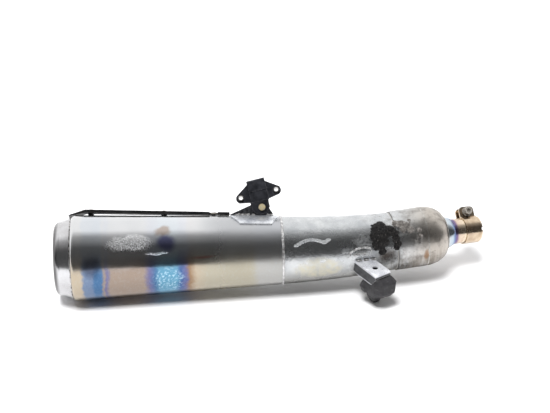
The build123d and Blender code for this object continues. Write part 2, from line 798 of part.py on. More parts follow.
# ---- heat shield on the far upper side of the can, on screwed bosses -------------------------
shield_line = ((-6, 70.8), (22, 79.0), (258, 65.9))     # outer face, as (place, radius)
lip_line = ((-6, 69.2), (22, 73.6), (258, 60.9))        # lower edge of the turned-down lip
shield_lip = 1.4             # its thickness, in degrees about the can
shield_screws = ((30, 49), (150, 49))
pocket_start = 224           # pressed pocket that sinks the third screw
pocket_end = 240
pocket_far = 44
pocket_radius = 63.4
pocket_screw = (232, 37)


def shield_radius(place):
    """Outer radius of the shield's sheet."""
    for (start, first), (end, last) in zip(shield_line, shield_line[1:]):
        if place <= end:
            return first + (last - first) * (place - start) / (end - start)
    return shield_line[-1][1]


def sunk(line, depth):
    """A line of (place, radius) points, closer to the can."""
    return [(place, radius - depth) for place, radius in line]


shield_seats = [(place, lean, shield_radius(place)) for place, lean in shield_screws]
shield_seats.append((*pocket_screw, pocket_radius))
pocket_floor = pocket_radius - shield_wall
pocket_block = [(pocket_start, 50), (pocket_end, 50), (pocket_end, 90), (pocket_start, 90)]

with BuildPart() as heat_shield:
    add(can_sector([*shield_line, *reversed(sunk(shield_line, shield_wall))], shield_near,
                   shield_far))
    add(can_sector([*shield_line, *reversed(lip_line)], shield_near, shield_near + shield_lip))
    with BuildSketch(can_face(126, (shield_near + shield_far) / 2, 0)):
        RectangleRounded(264, 36, 10)
        with Locations((102, 0)):
            Rectangle(60, 36)
    extrude(amount=90, mode=Mode.INTERSECT)
    add(can_sector(pocket_block, shield_near - 1, pocket_far), mode=Mode.SUBTRACT)
    add(can_sector([(pocket_start, pocket_radius), (pocket_end, pocket_radius),
                    (pocket_end, pocket_floor), (pocket_start, pocket_floor)],
                   shield_near + 0.4, pocket_far))
    for start in (pocket_start, pocket_end - shield_wall):
        end = start + shield_wall
        add(can_sector([(start, shield_radius(start)), (end, shield_radius(end)),
                        (end, pocket_floor), (start, pocket_floor)],
                       shield_near + 0.4, pocket_far))
    add(can_sector([(pocket_start, shield_radius(pocket_start)),
                    (pocket_end, shield_radius(pocket_end)),
                    (pocket_end, pocket_floor), (pocket_start, pocket_floor)],
                   pocket_far - 1, pocket_far))
    for place, screw_lean, seat in shield_seats:
        with BuildSketch(can_face(place, screw_lean, 0)):
            Circle(2.7)
        extrude(amount=95, mode=Mode.SUBTRACT)
heat_shield.part.label = "heat_shield"
export_step(heat_shield.part, "parts/heat_shield.step")

with BuildPart() as heat_shield_bosses:
    for place, screw_lean, seat in shield_seats:
        with BuildSketch(can_face(place, screw_lean, can_radius(place) - 1)):
            Circle(5)
            Circle(2.5, mode=Mode.SUBTRACT)
        extrude(amount=seat - shield_wall - can_radius(place) + 0.4)
    add(can_strip(-20, 300, -30, 0, 10, 95), mode=Mode.SUBTRACT)
heat_shield_bosses.part.label = "heat_shield_bosses"
export_step(heat_shield_bosses.part, "parts/heat_shield_bosses.step")

with BuildPart() as heat_shield_washers:
    for place, screw_lean, seat in shield_seats:
        with BuildSketch(can_face(place, screw_lean, seat + 0.36)):
            Circle(6)
            Circle(2.6, mode=Mode.SUBTRACT)
        extrude(amount=0.8)
heat_shield_washers.part.label = "heat_shield_washers"
export_step(heat_shield_washers.part, "parts/heat_shield_washers.step")

with BuildPart() as heat_shield_screws:
    for place, screw_lean, seat in shield_seats:
        with BuildSketch(can_face(place, screw_lean, seat + 1.16)):
            Circle(4.75)
        extrude(amount=1.8)
        with BuildSketch(can_face(place, screw_lean, seat + 2.96)):
            RegularPolygon(1.73, 6)
        extrude(amount=-1.2, mode=Mode.SUBTRACT)
        with BuildSketch(can_face(place, screw_lean, can_radius(place) + 0.2)):
            Circle(2.45)
        extrude(amount=seat + 1.16 - can_radius(place) - 0.2)
heat_shield_screws.part.label = "heat_shield_screws"
export_step(heat_shield_screws.part, "parts/heat_shield_screws.step")
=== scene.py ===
import json
import math

import bpy
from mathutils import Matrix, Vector, noise
from mathutils.bvhtree import BVHTree


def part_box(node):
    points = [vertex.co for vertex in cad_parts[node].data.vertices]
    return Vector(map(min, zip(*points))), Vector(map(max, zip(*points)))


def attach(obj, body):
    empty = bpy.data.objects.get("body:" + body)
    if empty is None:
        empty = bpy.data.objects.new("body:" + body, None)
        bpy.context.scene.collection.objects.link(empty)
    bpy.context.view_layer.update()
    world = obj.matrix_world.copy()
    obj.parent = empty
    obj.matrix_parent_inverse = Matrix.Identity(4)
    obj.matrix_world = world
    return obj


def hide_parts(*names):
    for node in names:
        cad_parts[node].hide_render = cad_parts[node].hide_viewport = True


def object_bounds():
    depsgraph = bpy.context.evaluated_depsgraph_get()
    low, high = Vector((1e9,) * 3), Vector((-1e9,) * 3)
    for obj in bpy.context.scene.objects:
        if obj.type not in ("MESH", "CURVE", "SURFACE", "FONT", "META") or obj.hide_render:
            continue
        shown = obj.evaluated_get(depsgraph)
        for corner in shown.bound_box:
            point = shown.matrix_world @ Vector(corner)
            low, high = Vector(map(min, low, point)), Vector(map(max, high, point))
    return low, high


# Looks of a used motorcycle muffler: heat-tinted rear can, dull and stained front shells
# with burnt crust, black hanger and rubber parts. Metres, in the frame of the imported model.

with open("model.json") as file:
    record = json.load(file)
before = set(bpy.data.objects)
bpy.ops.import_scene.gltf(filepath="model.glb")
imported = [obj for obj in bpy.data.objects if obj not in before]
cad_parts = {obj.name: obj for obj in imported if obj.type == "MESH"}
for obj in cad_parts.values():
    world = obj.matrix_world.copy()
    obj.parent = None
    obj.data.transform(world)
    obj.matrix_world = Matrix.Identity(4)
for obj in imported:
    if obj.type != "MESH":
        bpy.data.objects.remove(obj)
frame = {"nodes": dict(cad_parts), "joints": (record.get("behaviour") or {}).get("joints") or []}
nodes = frame["nodes"]
cad_low, cad_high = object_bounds()


def direction(turn, rise):
    """Unit vector, turned from +X towards +Y and then raised, both in degrees."""
    turn = math.radians(turn)
    rise = math.radians(rise)
    return Vector((math.cos(turn) * math.cos(rise), math.sin(turn) * math.cos(rise), math.sin(rise)))


# ---- node graph helper ---------------------------------------------------------------------
def colour(red, green, blue):
    """Screen colour from 0 to 255 as a linear RGBA."""
    def linear(value):
        value = value / 255
        return value / 12.92 if value <= 0.04045 else ((value + 0.055) / 1.055) ** 2.4
    return (linear(red), linear(green), linear(blue), 1)


class Graph:
    """Material made of nodes, with its textures placed in the frame of the model."""

    def __init__(self, name, metallic, roughness, specular=0.5):
        self.material = bpy.data.materials.new(name)
        self.material.use_nodes = True
        self.tree = self.material.node_tree
        self.tree.nodes.clear()
        output = self.node("ShaderNodeOutputMaterial")
        self.shader = self.node("ShaderNodeBsdfPrincipled")
        self.shader.inputs["Metallic"].default_value = metallic
        self.shader.inputs["Roughness"].default_value = roughness
        self.shader.inputs["Specular IOR Level"].default_value = specular
        self.link(self.shader.outputs["BSDF"], output.inputs["Surface"])
        self.place = self.node("ShaderNodeTexCoord").outputs["Object"]

    def node(self, kind, **settings):
        made = self.tree.nodes.new(kind)
        for key, value in settings.items():
            setattr(made, key, value)
        return made

    def link(self, start, end):
        self.tree.links.new(start, end)

    def put(self, value, socket):
        """Links a socket, or sets a plain value."""
        if isinstance(value, bpy.types.NodeSocket):
            self.link(value, socket)
        else:
            socket.default_value = value

    def math(self, operation, first, second=0.0, clamp=False):
        made = self.node("ShaderNodeMath", operation=operation, use_clamp=clamp)
        self.put(first, made.inputs[0])
        self.put(second, made.inputs[1])
        return made.outputs[0]

    def add(self, first, second):
        return self.math("ADD", first, second)

    def times(self, first, second):
        return self.math("MULTIPLY", first, second)

    def fit(self, value, low, high, to_low=0.0, to_high=1.0, smooth=False):
        """Maps a range to another, clamped."""
        made = self.node("ShaderNodeMapRange", clamp=True)
        if smooth:
            made.interpolation_type = "SMOOTHSTEP"
        self.put(value, made.inputs["Value"])
        made.inputs["From Min"].default_value = low
        made.inputs["From Max"].default_value = high
        made.inputs["To Min"].default_value = to_low
        made.inputs["To Max"].default_value = to_high
        return made.outputs["Result"]

    def mapped(self, scale=(1, 1, 1), turn=(0, 0, 0), shift=(0, 0, 0), source=None):
        made = self.node("ShaderNodeMapping")
        self.put(source or self.place, made.inputs["Vector"])
        made.inputs["Scale"].default_value = scale
        made.inputs["Rotation"].default_value = [math.radians(angle) for angle in turn]
        made.inputs["Location"].default_value = shift
        return made.outputs["Vector"]

    def noise(self, scale, detail=3.0, roughness=0.5, source=None, distortion=0.0):
        made = self.node("ShaderNodeTexNoise")
        self.put(source or self.place, made.inputs["Vector"])
        made.inputs["Scale"].default_value = scale
        made.inputs["Detail"].default_value = detail
        made.inputs["Roughness"].default_value = roughness
        made.inputs["Distortion"].default_value = distortion
        return made.outputs["Fac"]

    def cells(self, scale, source=None, feature="F1"):
        made = self.node("ShaderNodeTexVoronoi", feature=feature)
        self.put(source or self.place, made.inputs["Vector"])
        made.inputs["Scale"].default_value = scale
        return made.outputs["Distance"]

    def axis(self, letter, source=None):
        made = self.node("ShaderNodeSeparateXYZ")
        self.put(source or self.place, made.inputs[0])
        return made.outputs[letter]

    def ramp(self, value, stops, smooth=False):
        """Colour ramp from (place, colour) pairs."""
        made = self.node("ShaderNodeValToRGB")
        if smooth:
            made.color_ramp.interpolation = "EASE"
        bar = made.color_ramp.elements
        while len(bar) < len(stops):
            bar.new(0.5)
        for element, (place, tint) in zip(bar, stops):
            element.position = place
            element.color = tint
        self.put(value, made.inputs["Fac"])
        return made.outputs["Color"]

    def mix(self, share, first, second, blend="MIX"):
        made = self.node("ShaderNodeMix", data_type="RGBA", blend_type=blend)
        self.put(share, made.inputs[0])
        self.put(first, made.inputs[6])
        self.put(second, made.inputs[7])
        return made.outputs[2]

    def spot(self, centre, size, source=None, inner=0.35):
        """1 inside an ellipsoid, fading to 0 at its edge. Centre and size in metres."""
        scale = [1 / length for length in size]
        shift = [-place / length for place, length in zip(centre, size)]
        vector = self.mapped(scale=scale, shift=shift, source=source)
        made = self.node("ShaderNodeVectorMath", operation="LENGTH")
        self.link(vector, made.inputs[0])
        return self.fit(made.outputs["Value"], inner, 1.0, 1.0, 0.0, smooth=True)

    def wobbly(self, scale, amount, detail=3.0):
        """The place, shifted by noise, so that edges of spots aren't clean."""
        made = self.node("ShaderNodeTexNoise")
        self.link(self.place, made.inputs["Vector"])
        made.inputs["Scale"].default_value = scale
        made.inputs["Detail"].default_value = detail
        centred = self.node("ShaderNodeVectorMath", operation="SUBTRACT")
        self.link(made.outputs["Color"], centred.inputs[0])
        centred.inputs[1].default_value = (0.5, 0.5, 0.5)
        scaled = self.node("ShaderNodeVectorMath", operation="SCALE")
        self.link(centred.outputs[0], scaled.inputs[0])
        scaled.inputs["Scale"].default_value = amount
        moved = self.node("ShaderNodeVectorMath", operation="ADD")
        self.link(self.place, moved.inputs[0])
        self.link(scaled.outputs[0], moved.inputs[1])
        return moved.outputs[0]

    def most(self, values):
        """The largest of several masks."""
        result = values[0]
        for value in values[1:]:
            result = self.math("MAXIMUM", result, value)
        return result

    def bump(self, height, distance, strength=1.0, under=None):
        made = self.node("ShaderNodeBump")
        made.inputs["Strength"].default_value = strength
        made.inputs["Distance"].default_value = distance
        self.put(height, made.inputs["Height"])
        if under is not None:
            self.link(under, made.inputs["Normal"])
        return made.outputs["Normal"]

    def edges(self, radius):
        """1 on sharp edges, where paint or plating wears first."""
        rounded = self.node("ShaderNodeBevel", samples=4)
        rounded.inputs["Radius"].default_value = radius
        flat = self.node("ShaderNodeNewGeometry")
        made = self.node("ShaderNodeVectorMath", operation="DOT_PRODUCT")
        self.link(rounded.outputs[0], made.inputs[0])
        self.link(flat.outputs["Normal"], made.inputs[1])
        return self.fit(made.outputs["Value"], 0.985, 0.8, 0.0, 1.0)

    def finish(self, base=None, roughness=None, normal=None, metallic=None):
        if base is not None:
            self.put(base, self.shader.inputs["Base Color"])
        if roughness is not None:
            self.put(roughness, self.shader.inputs["Roughness"])
        if normal is not None:
            self.put(normal, self.shader.inputs["Normal"])
        if metallic is not None:
            self.put(metallic, self.shader.inputs["Metallic"])
        return self.material


# ---- places read from the frame ------------------------------------------------------------
can_low, can_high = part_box("rear_shell")
can_rear = can_low.x
can_length = can_high.x - can_low.x
floor_height = cad_low.z
joint_axis = {joint["name"]: Vector(joint["axis"]) for joint in frame["joints"]}
inlet_axis = joint_axis["clamp_turn"]

silver = colour(214, 215, 217)
straw = colour(178, 165, 146)
pale_violet = colour(110, 126, 152)
violet = colour(104, 104, 142)
blue = colour(74, 108, 146)
tan = colour(150, 135, 123)
cyan = colour(98, 148, 174)
deep_blue = colour(74, 98, 146)
brown = colour(146, 118, 92)
cream = colour(170, 164, 148)
greige = colour(172, 171, 168)
soot = colour(34, 30, 28)


# ---- metals --------------------------------------------------------------------------------
def heat_tint(g):
    """Rings of oxide colour along the can, from its hot rear end forwards."""
    wander = g.times(g.add(g.noise(26, 3.0, 0.6), -0.5), 0.05)
    ragged = g.times(g.add(g.noise(150, 4.0, 0.65), -0.5), 0.024)
    along = g.fit(g.axis("X"), can_rear, can_rear + can_length)
    along = g.add(along, g.add(wander, ragged))
    base = g.ramp(along, [
        (0.0, straw), (0.046, straw), (0.060, pale_violet), (0.096, pale_violet),
        (0.110, blue), (0.141, blue), (0.154, tan), (0.166, violet), (0.185, tan),
        (0.340, tan), (0.366, violet), (0.392, blue), (0.419, cyan), (0.495, cyan),
        (0.516, deep_blue), (0.537, violet), (0.555, brown), (0.589, straw), (0.65, cream),
        (0.85, cream), (0.885, greige),
    ])
    flecks = g.fit(g.noise(250, 4.0, 0.75), 0.52, 0.60)
    bitten = g.spot((-0.520, -0.108, -0.012), (0.030, 0.030, 0.030), g.wobbly(60, 0.012), 0.6)
    bitten = g.add(g.times(bitten, 0.7), 0.06)
    return g.mix(g.times(flecks, bitten), base, colour(196, 222, 236))


def make_can_steel():
    g = Graph("can_steel", 1.0, 0.18)
    tint = heat_tint(g)
    plain = g.mix(g.fit(g.noise(9, 4), 0.35, 0.7), silver, colour(200, 203, 206))
    fore = g.fit(g.axis("X"), -0.49, -0.43, smooth=True)
    plain = g.mix(g.times(fore, 0.8), plain, colour(172, 174, 179))
    height = g.add(g.axis("Z"), g.times(g.add(g.noise(30, 4), -0.5), 0.012))
    faded = g.fit(height, 0.008, 0.048, 0.0, 0.88, smooth=True)
    kept = g.spot((-0.522, -0.080, 0.045), (0.020, 0.024, 0.014), g.wobbly(50, 0.01))
    base = g.mix(faded, tint, plain)
    base = g.mix(g.times(kept, 0.8), base, colour(84, 84, 140))
    place = g.wobbly(70, 0.012)
    # The dark violet spot near the rear is partly a stain and partly a painted dark reflection.
    stain = g.spot((-0.642, -0.105, 0.020), (0.020, 0.03, 0.026), place)
    burnt = g.spot((-0.527, -0.062, 0.057), (0.018, 0.02, 0.006), place)
    streak = g.spot((-0.464, -0.095, 0.0255), (0.026, 0.014, 0.0026), g.wobbly(30, 0.003))
    base = g.mix(g.times(stain, 0.55), base, colour(36, 34, 58))
    base = g.mix(g.times(burnt, 0.6), base, brown)
    base = g.mix(g.times(streak, 0.6), base, colour(176, 108, 92))
    patch = g.spot((-0.582, -0.081, 0.047), (0.046, 0.024, 0.0125), g.wobbly(60, 0.012), 0.5)
    grain = g.noise(380, 4.0, 0.8)
    line = g.spot((-0.537, -0.0925, 0.0343), (0.026, 0.012, 0.0020), g.wobbly(80, 0.004), 0.3)
    patch = g.math("MAXIMUM", patch, line)
    # Painted highlight: speckles in the rough patch and its thin line are painted near white.
    painted_highlight = g.times(patch, g.fit(grain, 0.49, 0.56))
    base = g.mix(g.times(painted_highlight, 0.8), base, colour(250, 250, 252))
    fine = g.noise(1.0, 2.0, 0.5, g.mapped(scale=(420, 60, 60)))
    smear = g.noise(14, 5.0, 0.6)
    rough = g.fit(smear, 0.3, 0.7, 0.12, 0.24)
    rough = g.add(rough, g.fit(g.axis("X"), -0.48, -0.41, 0.0, 0.13, smooth=True))
    rough = g.add(rough, g.times(patch, g.fit(grain, 0.47, 0.56, 0.0, 0.50)))
    dents = g.add(g.times(g.noise(11, 2.0), 1.0), g.times(g.noise(42, 2.0), 0.14))
    normal = g.bump(dents, 0.004, 0.35)
    normal = g.bump(g.times(grain, g.add(patch, 0.03)), 0.0014, 0.9, normal)
    normal = g.bump(fine, 0.00005, 0.5, normal)
    return g.finish(base, rough, normal)


def make_cap_steel():
    g = Graph("cap_steel", 1.0, 0.2)
    smear = g.noise(24, 5.0, 0.6)
    base = g.mix(g.fit(smear, 0.35, 0.7), colour(206, 206, 208), colour(182, 181, 182))
    # Painted dark reflection: the rear-most lip of the cap is made dark.
    painted_dark_lip = g.fit(g.axis("X"), can_rear - 0.020, can_rear - 0.025)
    base = g.mix(g.times(painted_dark_lip, 0.85), base, colour(60, 58, 57))
    speckle = g.fit(g.noise(420, 3.0, 0.7), 0.62, 0.72)
    base = g.mix(g.times(speckle, 0.3), base, colour(120, 108, 96))
    turned = g.noise(1.0, 2.0, 0.5, g.mapped(scale=(1600, 30, 30)))
    rough = g.fit(smear, 0.3, 0.7, 0.16, 0.30)
    normal = g.bump(g.noise(16, 2.0), 0.003, 0.3)
    normal = g.bump(turned, 0.00008, 0.6, normal)
    return g.finish(base, rough, normal)


def dent_places():
    """Places along the raised edge of the dent: a long arch, then a short hook upwards."""
    start = Vector((-0.3130, -0.0800, 0.0322))
    crest = Vector((-0.2900, -0.0755, 0.0380))
    dip = Vector((-0.2670, -0.0780, 0.0335))
    tip = Vector((-0.2605, -0.0755, 0.0362))
    steps = 5
    places = []
    for step in range(-steps, steps + 1):
        end = start if step < 0 else dip
        share = abs(step) / steps
        place = crest.lerp(end, share)
        place.z = end.z + (crest.z - end.z) * math.cos(share * math.pi / 2)
        places.append(place)
    return places + [dip.lerp(tip, 0.5), tip]


def make_shell_steel():
    """Dull front shells: dents, water marks, soot, brown burnt-on dirt and painted shade on their
    undersides.
    """
    g = Graph("shell_steel", 1.0, 0.3)
    place = g.wobbly(90, 0.014, 5.0)
    mottle = g.noise(34, 6.0, 0.65)
    base = g.mix(g.fit(mottle, 0.35, 0.68), colour(202, 204, 205), colour(176, 179, 182))
    front = g.fit(g.axis("X"), -0.215, -0.15, 0.0, 1.0, smooth=True)
    warm = g.fit(g.axis("X"), -0.15, -0.09, 0.0, 0.8)
    base = g.mix(warm, base, colour(184, 175, 164))
    cloud = g.fit(g.noise(62, 6.0, 0.7), 0.46, 0.66)
    base = g.mix(g.times(cloud, g.fit(front, 0, 1, 0.08, 0.6)), base, colour(98, 92, 86))
    # Painted shade: the shells are made darker towards their undersides.
    under = g.fit(g.axis("Z"), 0.004, -0.040, 0.0, 0.75, smooth=True)
    base = g.mix(under, base, colour(112, 108, 101))
    smear = g.spot((-0.163, -0.082, 0.006), (0.024, 0.02, 0.014), place, 0.1)
    base = g.mix(g.times(smear, 0.7), base, colour(104, 88, 74))
    stain = g.spot((-0.276, -0.092, -0.008), (0.048, 0.02, 0.024), place, 0.6)
    stain = g.times(stain, g.fit(g.noise(85, 5.0, 0.7), 0.36, 0.6))
    base = g.mix(g.times(stain, 0.7), base, colour(204, 198, 174))
    dark = g.most([
        g.spot((-0.136, -0.058, 0.040), (0.026, 0.016, 0.012), place),
        g.spot((-0.111, -0.066, 0.030), (0.007, 0.016, 0.018), place),
        g.spot((-0.160, -0.080, 0.000), (0.034, 0.016, 0.022), place, 0.1),
        g.spot((-0.230, -0.083, 0.020), (0.012, 0.014, 0.006), place, 0.1),
        g.spot((-0.200, -0.074, 0.030), (0.030, 0.016, 0.010), place, 0.1),
        g.spot((-0.135, -0.072, -0.024), (0.030, 0.022, 0.016), place, 0.2),
        g.spot((-0.090, -0.060, -0.034), (0.026, 0.020, 0.010), place, 0.2),
    ])
    gritty = g.fit(g.noise(260, 6.0, 0.75), 0.38, 0.62)
    base = g.mix(g.times(dark, g.fit(gritty, 0, 1, 0.25, 0.85)), base, colour(44, 42, 42))
    rust = g.spot((-0.0975, -0.0715, -0.002), (0.0058, 0.018, 0.014), g.wobbly(160, 0.006))
    base = g.mix(g.times(rust, 0.8), base, colour(146, 112, 82))
    flecks = g.times(g.fit(g.noise(330, 4.0, 0.7), 0.63, 0.70), g.fit(front, 0, 1, 0.3, 1))
    base = g.mix(g.times(flecks, 0.75), base, soot)
    streaks = g.noise(1.0, 4.0, 0.6, g.mapped(scale=(190, 26, 26)))
    low = g.times(g.fit(g.axis("Z"), 0.012, -0.03), front)
    base = g.mix(g.times(g.times(g.fit(streaks, 0.44, 0.62), low), 0.8), base,
                 colour(96, 86, 74))
    rough = g.add(g.fit(mottle, 0.3, 0.7, 0.18, 0.33), g.times(dark, 0.15))
    rough = g.add(rough, g.times(stain, 0.2))
    rough = g.add(rough, g.fit(g.axis("X"), -0.16, -0.10, 0.0, 0.12))
    dents = g.add(g.noise(13, 2.0), g.times(g.noise(40, 2.0), 0.16))
    swell = (0.0052, 0.010, 0.0019)
    ridge = g.most([g.spot(place, swell, None, 0.0) for place in dent_places()])
    normal = g.bump(dents, 0.0045, 0.4)
    normal = g.bump(ridge, 0.0030, 1.0, normal)
    normal = g.bump(g.times(gritty, g.add(dark, 0.12)), 0.0007, 0.9, normal)
    normal = g.bump(g.noise(700, 3.0, 0.6), 0.00012, 0.7, normal)
    return g.finish(base, rough, normal)


def make_weld_steel():
    g = Graph("weld_steel", 0.75, 0.3)
    ripples = g.cells(360)
    base = g.mix(g.fit(g.noise(180, 4.0), 0.35, 0.65), colour(234, 234, 234), colour(140, 138, 138))
    pits = g.fit(g.noise(420, 4.0, 0.7), 0.60, 0.70)
    base = g.mix(g.times(pits, 0.8), base, colour(58, 52, 50))
    rough = g.fit(g.noise(120, 3.0), 0.3, 0.7, 0.22, 0.45)
    normal = g.bump(ripples, 0.0009, 0.7)
    return g.finish(base, rough, normal)


def make_weld_dull():
    """Beads as grey and stained as the shells beside them."""
    g = Graph("weld_dull", 1.0, 0.42)
    base = g.mix(g.fit(g.noise(90, 5.0, 0.7), 0.38, 0.64), colour(204, 202, 198), colour(150, 146, 140))
    rough = g.fit(g.noise(120, 3.0), 0.3, 0.7, 0.26, 0.44)
    return g.finish(base, rough, g.bump(g.noise(600, 4.0, 0.7), 0.0002, 0.6))


def make_weld_dark():
    """Narrow bead at the rear cap, with black spots and shiny pale spots."""
    g = Graph("weld_dark", 1.0, 0.35)
    spots = g.fit(g.noise(190, 5.0, 0.7), 0.44, 0.60)
    base = g.mix(spots, colour(70, 66, 64), colour(206, 204, 202))
    rough = g.fit(spots, 0, 1, 0.5, 0.25)
    return g.finish(base, rough, g.bump(g.noise(600, 4.0, 0.7), 0.0003, 0.8))


def make_deposit():
    """Grey ash baked on the steel."""
    g = Graph("deposit", 0.35, 0.7)
    grain = g.noise(300, 6.0, 0.75)
    base = g.ramp(grain, [
        (0.36, colour(58, 54, 52)), (0.50, colour(108, 104, 100)), (0.62, colour(158, 154, 150)),
        (0.72, colour(196, 194, 190)),
    ])
    rough = g.fit(grain, 0.35, 0.65, 0.5, 0.8)
    return g.finish(base, rough, g.bump(grain, 0.0008, 0.9))


def inlet_axis_place(g):
    """Distance back from the mouth along the inlet, in metres."""
    made = g.node("ShaderNodeVectorMath", operation="DOT_PRODUCT")
    g.link(g.place, made.inputs[0])
    made.inputs[1].default_value = -inlet_axis
    return made.outputs["Value"]


def make_inlet_steel():
    g = Graph("inlet_steel", 1.0, 0.2)
    back = g.add(inlet_axis_place(g), g.times(g.add(g.noise(60, 3), -0.5), 0.003))
    base = g.ramp(g.fit(back, 0.0, 0.066), [
        (0.0, colour(216, 196, 172)), (0.45, colour(224, 208, 184)), (0.66, colour(206, 186, 168)),
        (0.72, colour(120, 100, 134)), (0.82, colour(98, 118, 160)), (0.88, colour(176, 190, 202)),
        (1.0, colour(196, 202, 206)),
    ])
    smear = g.noise(90, 4.0, 0.6)
    base = g.mix(g.fit(smear, 0.55, 0.75, 0.0, 0.4), base, colour(150, 112, 92))
    rough = g.fit(smear, 0.3, 0.7, 0.14, 0.30)
    turned = g.noise(1.0, 2.0, 0.5, g.mapped(scale=(900, 60, 60), turn=(0, 0, -16.5)))
    normal = g.bump(turned, 0.00008, 0.6)
    return g.finish(base, rough, normal)


def make_clamp_steel():
    """Thin band that straw heat colours have reached."""
    g = Graph("clamp_steel", 1.0, 0.2)
    smear = g.noise(70, 4.0, 0.6)
    base = g.mix(g.fit(smear, 0.35, 0.68), colour(208, 190, 166), colour(176, 154, 130))
    turn = g.noise(1.0, 3.0, 0.5, g.mapped(scale=(40, 40, 40), shift=(3, 0, 0)))
    base = g.mix(g.fit(turn, 0.52, 0.72, 0.0, 0.5), base, colour(150, 122, 112))
    worn = g.edges(0.0008)
    base = g.mix(g.times(worn, 0.7), base, colour(236, 224, 208))
    rough = g.add(g.fit(smear, 0.3, 0.7, 0.14, 0.28), g.times(worn, 0.1))
    normal = g.bump(g.noise(240, 3.0), 0.0003, 0.4)
    return g.finish(base, rough, normal)


def make_fastener_steel():
    g = Graph("fastener_steel", 0.6, 0.38)
    grime = g.fit(g.noise(420, 5.0, 0.7), 0.42, 0.62)
    base = g.mix(grime, colour(204, 200, 192), colour(118, 106, 96))
    base = g.mix(g.times(g.edges(0.0006), 0.6), base, colour(230, 226, 218))
    rough = g.fit(grime, 0, 1, 0.28, 0.55)
    normal = g.bump(g.noise(900, 3.0), 0.0002, 0.6)
    return g.finish(base, rough, normal)


def make_yellow_zinc():
    g = Graph("yellow_zinc", 0.55, 0.36)
    film = g.noise(260, 4.0, 0.6)
    base = g.ramp(film, [
        (0.36, colour(226, 206, 150)), (0.5, colour(222, 208, 172)), (0.62, colour(206, 200, 186)),
    ])
    base = g.mix(g.times(g.edges(0.0005), 0.5), base, colour(224, 216, 196))
    rough = g.fit(film, 0.3, 0.7, 0.26, 0.48)
    normal = g.bump(g.noise(800, 3.0), 0.0002, 0.5)
    return g.finish(base, rough, normal)


def make_saddle_steel():
    """Welded-on plates: bright on their worn edges, with darker dirty patches."""
    g = Graph("saddle_steel", 0.7, 0.3)
    smear = g.noise(60, 5.0, 0.65)
    base = g.mix(g.fit(smear, 0.38, 0.66), colour(216, 218, 222), colour(168, 172, 180))
    dirt = g.fit(g.noise(210, 5.0, 0.7), 0.56, 0.68)
    base = g.mix(g.times(dirt, 0.55), base, colour(84, 84, 88))
    base = g.mix(g.times(g.edges(0.0009), 0.5), base, colour(232, 232, 232))
    rough = g.fit(smear, 0.3, 0.7, 0.22, 0.42)
    normal = g.bump(g.noise(90, 3.0), 0.0008, 0.4)
    normal = g.bump(g.noise(800, 3.0), 0.00015, 0.5, normal)
    return g.finish(base, rough, normal)


def make_bracket_steel():
    """Rubbed plate. Its flanges carry painted shade down to their cut edges: nearly black, rougher and
    not metallic.
    """
    g = Graph("bracket_steel", 0.45, 0.3, 0.2)
    smear = g.noise(75, 5.0, 0.65)
    base = g.mix(g.fit(smear, 0.40, 0.66), colour(226, 228, 232), colour(176, 178, 186))
    # Painted shade: the band of the flanges below the plate is made nearly black, rougher and not
    # metallic.
    low = g.times(g.fit(g.axis("Z"), -0.0004, -0.0018), g.fit(g.axis("Z"), -0.0192, -0.0178))
    # grime here only mottles the painted shade between two near-blacks.
    grime = g.fit(g.noise(240, 5.0, 0.7), 0.3, 0.7, 0.0, 1.0)
    base = g.mix(g.times(low, 0.92), base, g.mix(grime, colour(30, 30, 33), colour(14, 14, 16)))
    dirt = g.fit(g.noise(230, 5.0, 0.7), 0.58, 0.68)
    base = g.mix(g.times(dirt, 0.5), base, colour(90, 88, 88))
    base = g.mix(g.times(g.edges(0.0008), 0.5), base, colour(238, 238, 240))
    rough = g.add(g.fit(smear, 0.3, 0.7, 0.16, 0.34), g.times(low, 0.3))
    g.link(g.fit(low, 0, 1, 0.45, 0.0), g.shader.inputs["Metallic"])
    normal = g.bump(g.noise(90, 3.0), 0.0006, 0.4)
    normal = g.bump(g.noise(800, 3.0), 0.00015, 0.5, normal)
    return g.finish(base, rough, normal)


def make_tab_steel():
    """Upright hanger tab: scale from the welding, rubbed grey."""
    g = Graph("tab_steel", 0.9, 0.5)
    scale = g.fit(g.noise(190, 6.0, 0.7), 0.38, 0.62)
    base = g.mix(scale, colour(122, 124, 128), colour(64, 64, 68))
    base = g.mix(g.times(g.edges(0.0009), 0.6), base, colour(176, 178, 180))
    rough = g.fit(scale, 0, 1, 0.36, 0.62)
    normal = g.bump(g.noise(420, 5.0, 0.7), 0.0006, 0.7)
    return g.finish(base, rough, normal)


def make_hanger_black():
    """Black paint, scuffed to grey on its edges and dusty in patches."""
    g = Graph("hanger_black", 0.0, 0.42)
    dust = g.noise(75, 6.0, 0.7)
    base = g.mix(g.fit(dust, 0.40, 0.68), colour(22, 23, 27), colour(44, 45, 50))
    worn = g.times(g.edges(0.0011), g.fit(g.noise(160, 4.0), 0.38, 0.6))
    base = g.mix(g.times(worn, 0.75), base, colour(128, 128, 132))
    chips = g.fit(g.noise(300, 4.0, 0.7), 0.68, 0.73)
    base = g.mix(g.times(chips, 0.5), base, colour(120, 112, 104))
    rough = g.fit(dust, 0.3, 0.7, 0.32, 0.52)
    normal = g.bump(g.noise(520, 4.0, 0.6), 0.0003, 0.6)
    return g.finish(base, rough, normal)


def make_sleeve_zinc():
    g = Graph("sleeve_zinc", 1.0, 0.32)
    film = g.noise(300, 4.0)
    base = g.mix(g.fit(film, 0.38, 0.64), colour(206, 206, 204), colour(150, 146, 140))
    rough = g.fit(film, 0.3, 0.7, 0.24, 0.42)
    return g.finish(base, rough, g.bump(g.noise(700, 3.0), 0.0002, 0.5))


